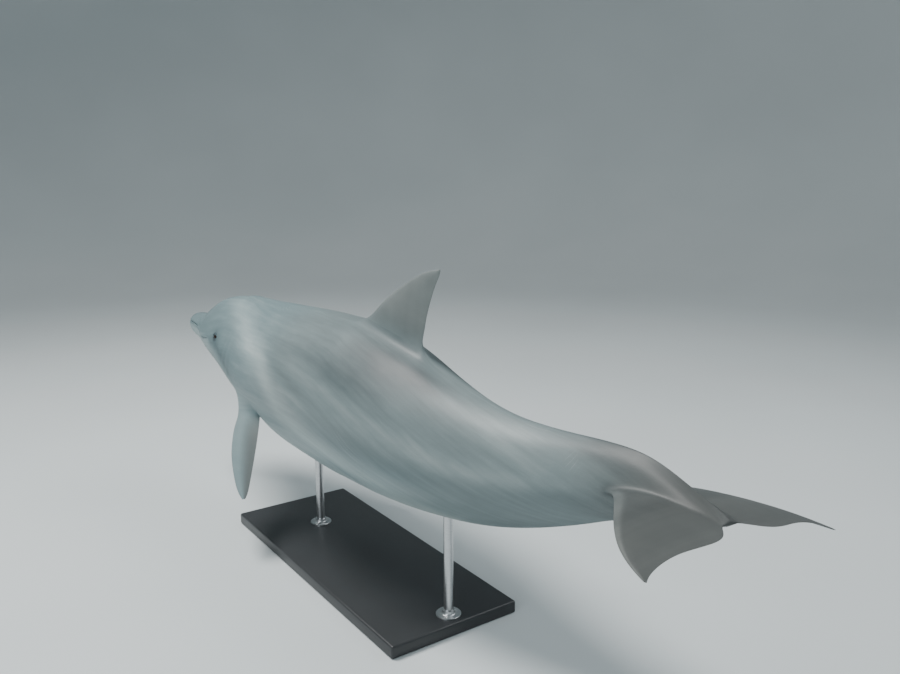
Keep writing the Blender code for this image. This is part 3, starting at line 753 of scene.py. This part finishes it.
# ---- markings ----
# soft bands along the body: path of station and angle from the back, half width, run of
# strength by station
STREAKS = (
    # blaze from the crown past the shoulder, down to the edge of the belly
    (((0.1, 0.5), (0.2, 0.8), (0.27, 1.0), (0.33, 1.15), (0.4, 1.62), (0.48, 1.9),
      (0.58, 2.1), (0.68, 2.3)), 0.24,
     ((0.08, 0.0), (0.18, 0.1), (0.27, 0.19), (0.33, 0.19), (0.42, 0.14), (0.6, 0.09),
      (0.68, 0.0))),
    # smudges below the dorsal fin: the upper one painted shade that dulls the highlight there,
    # the lower one a darker patch of the skin that also dulls it
    (((0.5, 0.54), (0.66, 0.46)), 0.23,
     ((0.49, 0.0), (0.56, -0.2), (0.61, -0.21), (0.67, 0.0))),
    (((0.42, 0.8), (0.5, 0.9), (0.6, 0.94)), 0.18,
     ((0.41, 0.0), (0.5, -0.1), (0.54, -0.13), (0.62, 0.0))),
    # dark line from the shoulder back to the flank
    (((0.3, 0.98), (0.38, 1.14), (0.45, 1.34), (0.54, 1.56), (0.66, 1.8)), 0.06,
     ((0.3, 0.0), (0.36, -0.06), (0.5, -0.05), (0.6, -0.03), (0.66, 0.0))),
    # pale streaks along the flank, the lower one partly painted light on the shaded flank, and
    # dark band below them
    (((0.4, 1.08), (0.5, 1.2), (0.61, 1.33), (0.7, 1.5), (0.8, 1.58)), 0.14,
     ((0.4, 0.0), (0.5, 0.06), (0.6, 0.09), (0.68, 0.12), (0.76, 0.08), (0.86, 0.0))),
    (((0.42, 1.42), (0.5, 1.48), (0.58, 1.5), (0.7, 1.64)), 0.13,
     ((0.4, 0.0), (0.46, 0.05), (0.56, 0.05), (0.68, 0.04), (0.74, 0.0))),
    (((0.47, 1.76), (0.58, 1.78), (0.66, 1.86)), 0.11,
     ((0.46, 0.0), (0.55, -0.04), (0.62, -0.03), (0.69, 0.0))),
    # faint stripe from the eye to the flipper
    (((0.14, 1.55), (0.19, 1.72), (0.25, 2.0)), 0.09,
     ((0.15, 0.0), (0.17, -0.07), (0.23, -0.06), (0.26, 0.0))),
)
STREAK_GAIN = 1.25
# soft patches of painted light and shade: strength, station and its half width, angle from the
# back and its half width
LIGHT_AND_SHADE_PATCHES = (
    (0.14, 0.745, 0.07, 0.55, 0.36),    # painted highlight on the bright top of the tail stock
    (0.08, 0.8, 0.08, 1.15, 0.5),       # its paler side: painted light on the tail stock's shaded side
    (-0.12, 0.2, 0.06, 1.75, 0.3),      # shade between eye and flipper
)
# station, mean radius, which spreads the fine streaks evenly round the body
GIRTH_RADII = ((0.0, 0.05), (0.1, 0.1), (0.2, 0.155), (0.33, 0.2), (0.45, 0.212),
               (0.57, 0.185), (0.7, 0.14), (0.9, 0.05), (1.0, 0.02))
LEFT_APART = 3.0    # keeps the two sides' fine streaks and scratches different
girth_of = smooth_table(GIRTH_RADII)


def bump(x, centre, width):
    return np.exp(-((x - centre) / width) ** 2)


def sampled(function, stations, last=1.0, count=201):
    """A function of one station, for an array of them."""
    spots = np.linspace(0.0, last, count)
    return np.interp(stations, spots, [function(x) for x in spots])


def body_tone(s, a):
    """Tone of the body from 0, darkest slate, to 1, belly white, with painted light and shade
    worked in.
    """
    tone = 0.45 + 0.07 * bump(s, 0.22, 0.14) - 0.03 * ease(0.10, 0.02, s)
    belly = 1 - ease(0.60, 0.76, s)
    tone += 0.14 * ease(1.55, 2.10, a) * belly + 0.38 * ease(2.20, 2.80, a) * belly
    tone += 0.05 * ease(0.40, 0.0, a) * bump(s, 0.66, 0.10)         # painted light behind the dorsal fin, lifting the back that lies in its shade
    tone -= 0.07 * ease(0.35, 0.05, a) * bump(s, 0.55, 0.04)        # painted shade beside it, dulling the highlight on the fin's root
    tone -= 0.14 * ease(1.2, 0.6, a) * bump(s, 0.87, 0.05)          # painted shade on the ridge at the root of the flukes, dulling its highlight
    tone -= 0.29 * ease(0.83, 0.95, s)
    # painted light and shade in soft patches
    for strength, station, length, angle, width in LIGHT_AND_SHADE_PATCHES:
        tone += strength * bump(s, station, length) * bump(a, angle, width)
    for path, width, run in STREAKS:
        line = np.interp(s, *np.array(path).T)
        tone += STREAK_GAIN * bump(a, line, width) * np.interp(s, *np.array(run).T)
    mouth = sampled(lambda x: angle_at_height(x, mouth_of(x)), s, 0.155, 32)
    tone += 0.17 * ease(-0.03, 0.10, a - mouth) * (1 - ease(0.08, 0.17, s))
    eye = np.hypot((s - EYE_STATION) / 0.016, (a - EYE_ANGLE) / 0.24)
    return tone - 0.10 * np.exp(-eye ** 2) - 0.20 * np.exp(-(eye / 0.42) ** 4)


def paint(mesh):
    """Give the skin its tone, with painted light and shade, warmth, flat coordinates and where
    it is scratched.
    """
    s, sine, cosine, fin, span, chord = (field_of(mesh, name) for name in MARKS)
    a = np.abs(np.arctan2(sine, cosine))
    dorsal = fin * (cosine > 0.5)
    fluke = fin * (s > 0.8)
    limb = fin * (cosine < -0.4)
    fins = dorsal * (0.43 - 0.05 * chord + 0.05 * ease(0.12, 0.0, chord) + 0.05 * span)
    fins += fluke * (0.20 + 0.16 * ease(0.17, 0.07, chord) * ease(0.0, 0.25, span)
                     - 0.06 * span)
    fins += limb * (0.63 - 0.25 * ease(0.3, 0.85, chord) - 0.05 * span)
    blend = fin * ease(0.0, 0.45, span + 0.25 * fluke)
    tone = body_tone(s, a) * (1 - blend) + fins * blend / np.maximum(fin, 0.05)
    across = np.abs(sine) * width_of(EYE_STATION) * GIRTH * LENGTH
    swing = BLOWHOLE[-2][3] / LENGTH        # the slit's ends lie this far forward
    crescent = EYE_STATION - swing * (across / BLOWHOLE[-1][1]) ** 2
    # painted shade along the blowhole's slit, taken off the tone below
    slit = bump(s, crescent, 0.0016) * (1 - ease(0.011, 0.018, across)) * (cosine > 0)
    set_field(mesh, "tone", np.clip(tone - 0.42 * slit, 0.0, 1.0))
    warm = 0.30 * ease(0.26, 0.42, s) * np.maximum(ease(2.2, 1.5, a), ease(0.54, 0.72, s))
    warm += 0.50 * ease(0.80, 0.97, s) + dorsal * ease(0.0, 0.4, span) * 0.35
    warm += limb * ease(0.3, 0.9, chord) * ease(0.1, 0.4, span) * 0.6
    set_field(mesh, "warm", np.clip(warm, 0.0, 1.0))
    around = a * sampled(girth_of, s) + (sine < 0) * LEFT_APART
    set_field(mesh, "flat", np.stack([s * LENGTH, around, 0 * s], -1))
    crown = bump(s, EYE_STATION, 0.025) * ease(0.6, 0.3, a)
    bare = (1 - fin) * ease(2.6, 2.2, a) * ease(0.05, 0.12, s) * (1 - crown)
    set_field(mesh, "bare", bare)


def shape_details(mesh):
    """Creases and folds too fine for the cage."""
    s, sine, cosine, fin, _, _ = (field_of(mesh, name) for name in MARKS)
    a = np.abs(np.arctan2(sine, cosine))
    melon = 0.0480 + 0.010 * (a / 1.4) ** 2         # the crease at its foot
    depth = -0.0034 * bump(s, melon, 0.0026) * ease(1.70, 1.05, a)
    left = ease(0.3, 0.8, -sine)                    # the side that the head turns to
    for place, size in ((0.190, 0.0011), (0.205, 0.0014), (0.221, 0.0010)):
        fold = place - 0.010 * (a - 1.6)
        depth -= size * bump(s, fold, 0.0042) * left * bump(a, 1.75, 0.55)
    navel = np.hypot((s - 0.475) * LENGTH / 0.016, (pi - a) * 0.21 / 0.008)
    depth -= 0.0030 * np.exp(-navel ** 2)
    across = (pi - a) * np.interp(s, (0.6, 0.7), (0.17, 0.12))
    slit = ease(0.612, 0.622, s) * (1 - ease(0.662, 0.672, s))
    depth += slit * (0.0016 * bump(across, 0.012, 0.007) - 0.0042 * bump(across, 0, 0.0045))
    depth *= 1 - fin
    spots, normals = np.zeros((2, len(s) * 3))
    mesh.vertices.foreach_get("co", spots)
    mesh.vertices.foreach_get("normal", normals)
    mesh.vertices.foreach_set("co", spots + normals * np.repeat(depth, 3))
    mesh.update()


# ---- materials ----
RAKE_SPACING = 0.011        # between the scratches of one run
RAKE_HALF_WIDTH = 0.026     # of one run
RAKE_SHARE = 0.45           # of the cells have no run


class Nodes:
    """Shorthand for one material's node tree."""

    def __init__(self, name):
        self.material = bpy.data.materials.new(name)
        self.material.use_nodes = True
        self.tree = self.material.node_tree
        self.shader = self.tree.nodes["Principled BSDF"]

    def feed(self, socket, value):
        """Link a socket to another node's, or set it to a value."""
        if isinstance(value, bpy.types.NodeSocket):
            self.tree.links.new(value, socket)
        else:
            socket.default_value = value

    def add(self, kind, inputs, **settings):
        """The outputs of a new node."""
        node = self.tree.nodes.new("ShaderNode" + kind)
        for name, value in settings.items():
            setattr(node, name, value)
        for name, value in inputs.items():
            self.feed(node.inputs[name], value)
        return node.outputs

    def math(self, how, *terms, clamp=False):
        return self.add("Math", dict(enumerate(terms)), operation=how, use_clamp=clamp)[0]

    def multiply(self, *terms):
        """The product of two terms, plus a third if there is one."""
        return self.math("MULTIPLY" if len(terms) == 2 else "MULTIPLY_ADD", *terms)

    def attribute(self, name, output="Fac"):
        return self.add("Attribute", {}, attribute_name=name)[output]

    def place(self):
        return self.add("TexCoord", {})["Object"]

    def noise(self, vector, scale, detail=2.0, rough=0.5, stretch=(1, 1, 1)):
        place = self.add("Mapping", {"Vector": vector, "Scale": stretch})[0]
        return self.add("TexNoise", {"Vector": place, "Scale": scale, "Detail": detail,
                                     "Roughness": rough})["Fac"]

    def ramp(self, value, *stops):
        """A colour ramp: each stop is a place from 0 to 1, then red, green and blue."""
        colour = self.add("ValToRGB", {"Fac": value})["Color"]
        points = colour.node.color_ramp.elements
        while len(points) < len(stops):
            points.new(0.5)
        for point, (at, *shade) in zip(points, stops):
            point.position = at
            point.color = (*shade, 1.0)
        return colour

    def mix(self, factor, a, b):
        return self.add("Mix", {"Factor": factor, 6: a, 7: b}, data_type="RGBA")[2]

    def set(self, **values):
        """Feed the shader's inputs."""
        for name, value in values.items():
            self.feed(self.shader.inputs[name.replace("_", " ")], value)

    def relief(self, height, strength, distance):
        self.set(Normal=self.add("Bump", {"Strength": strength, "Distance": distance,
                                          "Height": height})[0])


def rake_marks(n, place, cell):
    """Short runs of parallel scratches, one to a cell, each run at its own angle."""
    spread = n.add("TexVoronoi", {"Vector": place, "Scale": 1 / cell},
                   voronoi_dimensions="2D", feature="F1")
    away = n.add("VectorMath", {0: place, 1: spread["Position"]}, operation="SUBTRACT")[0]
    chance = n.add("SeparateColor", {0: spread["Color"]})
    turned = n.add("VectorRotate", {"Vector": away, "Angle": n.multiply(chance[0], 2.2, -1.1)},
                   rotation_type="Z_AXIS")[0]
    along, across, _ = n.add("SeparateXYZ", {0: turned})
    sway = n.multiply(n.multiply(along, along), 1.5)
    across = n.math("ADD", across, sway)
    wave = n.math("SINE", n.multiply(across, pi / RAKE_SPACING))
    line = n.math("SMOOTH_MIN", n.multiply(n.math("ABSOLUTE", wave), 5.0), 1.0, 0.2)
    line = n.math("SUBTRACT", 1.0, line, clamp=True)
    size = n.multiply(chance[1], 0.06, 0.02)

    def fade(distance, reach):
        part = n.math("DIVIDE", n.math("ABSOLUTE", distance), reach)
        return n.math("SUBTRACT", 1.0, part, clamp=True)

    run = n.multiply(fade(along, size), fade(across, RAKE_HALF_WIDTH))
    run = n.multiply(run, n.math("GREATER_THAN", chance[2], RAKE_SHARE))
    run = n.math("SMOOTH_MIN", n.multiply(run, 2.5), 1.0, 0.3)
    return n.multiply(line, run)


def skin_material():
    n = Nodes("dolphin_skin")
    place = n.attribute("straight", "Vector")
    flat = n.attribute("flat", "Vector")
    lines = n.add("Mapping", {"Vector": flat, "Rotation": (0.0, 0.0, -0.09)})[0]
    cloud = n.noise(place, 5.0, 4.0, 0.55, (0.45, 1.0, 1.0))
    mottle = n.noise(place, 34.0, 4.0, 0.6, (0.5, 1.0, 1.0))
    combed = n.noise(lines, 20.0, 4.0, 0.6, (0.07, 1.0, 1.0))
    brushed = n.noise(lines, 75.0, 3.0, 0.55, (0.09, 1.0, 1.0))
    grain = n.noise(place, 420.0, 2.0, 0.6)
    value = n.attribute("tone")
    for field, swing in ((cloud, 0.14), (mottle, 0.08), (combed, 0.26), (brushed, 0.16),
                         (grain, 0.05)):
        value = n.math("ADD", value, n.multiply(field, swing, -swing / 2),
                       clamp=field is grain)
    rakes = n.math("ADD", rake_marks(n, flat, 0.21), rake_marks(n, flat, 0.34), clamp=True)
    rakes = n.multiply(rakes, n.attribute("bare"))
    value = n.multiply(rakes, 0.13, value)
    slate = n.ramp(value, (0, 0.020, 0.031, 0.037), (0.25, 0.060, 0.089, 0.099),
                   (0.5, 0.145, 0.202, 0.214), (0.75, 0.310, 0.380, 0.386),
                   (1, 0.600, 0.650, 0.632))
    brown = n.ramp(value, (0, 0.032, 0.034, 0.033), (0.3, 0.104, 0.104, 0.097),
                   (0.6, 0.247, 0.248, 0.232), (1, 0.600, 0.595, 0.555))
    n.set(Base_Color=n.mix(n.attribute("warm"), slate, brown),
          Roughness=n.multiply(mottle, 0.16, 0.42), Specular_IOR_Level=0.30,
          Coat_Weight=0.07, Coat_Roughness=0.26)
    fine = n.multiply(combed, 0.5, n.multiply(grain, 0.6))
    n.relief(n.multiply(rakes, -0.5, fine), 0.25, 0.0012)
    return n.material


def eye_material():
    n = Nodes("dolphin_eye")
    place = n.place()
    x, y, _ = n.add("SeparateXYZ", {0: place})
    across, upward = (n.math("DIVIDE", part, EYE_RADIUS) for part in (x, y))

    def disc(stretch, dark_to, pale_from):
        """White out of an oval about the pupil, black in it; stretch flattens it."""
        tall = n.multiply(upward, stretch)
        radius = n.math("SQRT", n.multiply(across, across, n.multiply(tall, tall)))
        return n.ramp(radius, (dark_to, 0, 0, 0), (pale_from, 1, 1, 1))

    iris = n.ramp(n.noise(place, 900.0, 3.0), (0.3, 0.010, 0.006, 0.005),
                  (0.7, 0.032, 0.019, 0.012))
    iris = n.mix(disc(1.0, 0.66, 0.74), iris, (0.060, 0.042, 0.036, 1.0))
    colour = n.mix(disc(1.9, 0.30, 0.36), (0.003, 0.003, 0.004, 1.0), iris)
    n.set(Base_Color=colour, Roughness=0.06, Specular_IOR_Level=0.5, Coat_Weight=0.3,
          Coat_Roughness=0.03)
    return n.material


def base_material():
    n = Nodes("base_paint")
    speck = n.noise(n.place(), 240.0, 3.0, 0.6)
    cloud = n.noise(n.place(), 5.0, 3.0)
    value = n.multiply(cloud, 0.35, n.multiply(speck, 0.3))
    colour = n.ramp(value, (0.1, 0.020, 0.021, 0.023), (0.6, 0.034, 0.036, 0.039))
    n.set(Base_Color=colour, Roughness=n.multiply(speck, 0.18, 0.30))
    n.relief(speck, 0.12, 0.0006)
    return n.material


def steel_material():
    n = Nodes("brushed_steel")
    brush = n.noise(n.place(), 60.0, 3.0, 0.6, (1.0, 1.0, 14.0))
    colour = n.ramp(brush, (0.3, 0.50, 0.51, 0.52), (0.7, 0.62, 0.63, 0.64))
    n.set(Base_Color=colour, Metallic=1.0, Roughness=n.multiply(brush, 0.16, 0.22))
    n.relief(brush, 0.10, 0.0003)
    return n.material


def floor_material():
    n = Nodes("floor")
    colour = n.ramp(n.noise(n.place(), 0.7), (0.3, 0.60, 0.64, 0.65), (0.7, 0.64, 0.68, 0.69))
    n.set(Base_Color=colour, Roughness=0.75, Specular_IOR_Level=0.2)
    return n.material


# ---- pieces ----
def show(name, mesh, look, nodes, smooth=None):
    """A shown piece that stands for CAD nodes."""
    mesh.materials.clear()
    mesh.materials.append(look)
    mesh.shade_smooth()
    if smooth is not None:
        mesh.set_sharp_from_angle(angle=radians(smooth))
    made = add_object(name, mesh)
    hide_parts(*nodes)
    return made


def eyeball(side):
    """A ball with a slightly bulged cornea, and its place; +Z looks out and +Y is up."""
    bm = bmesh.new()
    bmesh.ops.create_uvsphere(bm, u_segments=64, v_segments=48, radius=EYE_RADIUS)
    for v in bm.verts:
        v.co *= 1 + 0.035 * float(ease(0.72, 0.98, v.co.z / EYE_RADIUS))
    centre, out, _, around = eye_place(side)
    up = -around * side
    turn = Matrix((up.cross(out).normalized(), up, out)).transposed().to_4x4()
    return mesh_of(bm, "eyeball"), Matrix.Translation(centre) @ turn


def rod_mesh(station):
    """A rod from the base into the belly, its top cut to the belly's slope."""
    top, out, _ = on_skin(station, pi)
    foot = BASE_SIZE[2]
    bm = bmesh.new()
    tall = top.z + 0.05 - foot      # long enough to be cut
    bmesh.ops.create_cone(bm, cap_ends=True, segments=64, radius1=ROD_RADIUS,
                          radius2=ROD_RADIUS, depth=tall)
    bmesh.ops.translate(bm, verts=bm.verts, vec=(top.x, top.y, foot + tall / 2))
    every = [*bm.verts, *bm.edges, *bm.faces]
    bmesh.ops.bisect_plane(bm, geom=every, dist=1e-6, plane_co=top - out * ROD_SUNK,
                           plane_no=out, clear_inner=True)
    bmesh.ops.holes_fill(bm, edges=[e for e in bm.edges if e.is_boundary], sides=0)
    bmesh.ops.recalc_face_normals(bm, faces=bm.faces)
    return mesh_of(bm, "rod"), top


def collar_mesh(x, y, steps=72):
    """A collar on the base: its half section turned about a rod's axis."""
    verts, faces = [], []
    count = len(COLLAR_PROFILE)
    for i in range(steps):
        turn = 2 * pi * i / steps
        verts += [(x + (BORE + out) * cos(turn), y + (BORE + out) * sin(turn),
                   BASE_SIZE[2] + height) for out, height in COLLAR_PROFILE]
        j = (i + 1) % steps
        for k in range(count):
            m = (k + 1) % count
            faces.append((i * count + k, j * count + k, j * count + m, i * count + m))
    mesh = bpy.data.meshes.new("collar")
    mesh.from_pydata(verts, [], faces)
    turn_outward(mesh)
    return mesh


def base_mesh():
    bm = bmesh.new()
    lift = Matrix.Translation((0, 0, BASE_SIZE[2] / 2))
    bmesh.ops.create_cube(bm, size=1.0, matrix=lift @ Matrix.Diagonal((*BASE_SIZE, 1.0)))
    bmesh.ops.bevel(bm, geom=list(bm.edges), offset=BASE_ROUNDING, segments=6, profile=0.5,
                    affect="EDGES", clamp_overlap=True)
    return mesh_of(bm, "base")


FLESH = ("beak_upper", "beak_lower", "head", "trunk_front", "trunk_rear", "tail_stock",
         "fluke_root", "fluke_left", "fluke_right", "dorsal_fin", "flipper_left",
         "flipper_right")


def build_pieces():
    form = smooth_form()
    shape_details(form)
    paint(form)
    made = [show("dolphin_skin", form, skin_material(), FLESH)]
    look = eye_material()
    for name, side in SIDES:
        mesh, place = eyeball(side)
        eye = show("eye_ball_" + name, mesh, look, ("eye_" + name,))
        eye.matrix_world = place
        made.append(eye)
    look = steel_material()
    stand = []
    for name, station in ROD_STATIONS:
        mesh, top = rod_mesh(station)
        stand.append(("rod_" + name, mesh, look, 40))
        stand.append(("collar_" + name, collar_mesh(top.x, top.y), look, 35))
    stand.append(("base", base_mesh(), base_material(), 30))
    for name, mesh, look, smooth in stand:
        node = "stand_" + name
        made.append(show(name, mesh, look, (node,), smooth))
    for piece in made:
        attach(piece, "root")


# ---- studio ----
def bowl_profile():
    """Half section of the backdrop: flat floor, a wide curve and an upright wall."""
    flat, curve, wall = 5.5, 4.0, 11.0
    profile = [(0.0, 0.0), (2.0, 0.0), (4.0, 0.0), (flat, 0.0)]
    for k in range(1, 17):
        turn = pi / 2 * k / 16
        profile.append((flat + curve * sin(turn), curve - curve * cos(turn)))
    return profile + [(flat + curve, wall)]


# name, place, aim, diameter, watts, colour
LAMPS = (("key", (-1.2, -1.4, 4.6), (0.3, 0.0, 0.5), 1.8, 280, (1.0, 0.99, 0.97)),
         ("back", (1.6, 2.6, 3.8), (0.2, 0.0, 0.5), 3.0, 70, (0.94, 0.98, 1.0)),
         ("fill", (2.4, -4.2, 2.0), (0.1, 0.0, 0.5), 3.2, 85, (0.88, 0.96, 1.0)))


def studio():
    bm = bmesh.new()
    rim = [bm.verts.new((x, 0.0, z)) for x, z in bowl_profile()]
    edges = [bm.edges.new(pair) for pair in zip(rim, rim[1:])]
    bmesh.ops.spin(bm, geom=rim + edges, cent=(0, 0, 0), axis=(0, 0, 1),
                   angle=2 * pi, steps=96, use_merge=True)
    bmesh.ops.remove_doubles(bm, verts=bm.verts, dist=1e-5)
    bmesh.ops.recalc_face_normals(bm, faces=bm.faces)
    mesh = mesh_of(bm, "floor")
    mesh.shade_smooth()
    mesh.materials.append(floor_material())
    add_object("floor", mesh)

    world = bpy.data.worlds.new("studio")
    bpy.context.scene.world = world
    world.use_nodes = True
    backdrop = world.node_tree.nodes["Background"]
    backdrop.inputs["Color"].default_value = (0.78, 0.90, 0.95, 1.0)
    backdrop.inputs["Strength"].default_value = 0.30

    for name, place, aim, size, power, colour in LAMPS:
        light = bpy.data.lights.new(name, "AREA")
        light.shape = "DISK"
        light.size = size
        light.energy = power
        light.color = colour
        made = add_object(name, light)
        made.location = place
        made.rotation_mode = "QUATERNION"
        made.rotation_quaternion = (Vector(aim) - Vector(place)).to_track_quat("-Z", "Y")


def camera():
    """Seen from behind the left side and a little above, as in the photograph."""
    azimuth, elevation = 0.957, 0.209
    beside, above, distance = 0.281, 0.189, 2.547       # of the camera from the trunk
    back = Vector((sin(azimuth) * cos(elevation),
                   -cos(azimuth) * cos(elevation), sin(elevation)))
    right = Vector((cos(azimuth), sin(azimuth), 0.0))
    up = back.cross(right)
    middle = Vector((-STAND_X, 0.0, LIFT))
    data = bpy.data.cameras.new("camera")
    data.lens = 34.0
    data.sensor_width = 36.0
    data.clip_end = 60.0
    made = add_object("camera", data)
    made.location = middle + right * beside + up * above + back * distance
    made.rotation_mode = "QUATERNION"
    made.rotation_quaternion = Matrix((right, up, back)).transposed().to_quaternion()
    bpy.context.scene.camera = made


build_pieces()
studio()
camera()
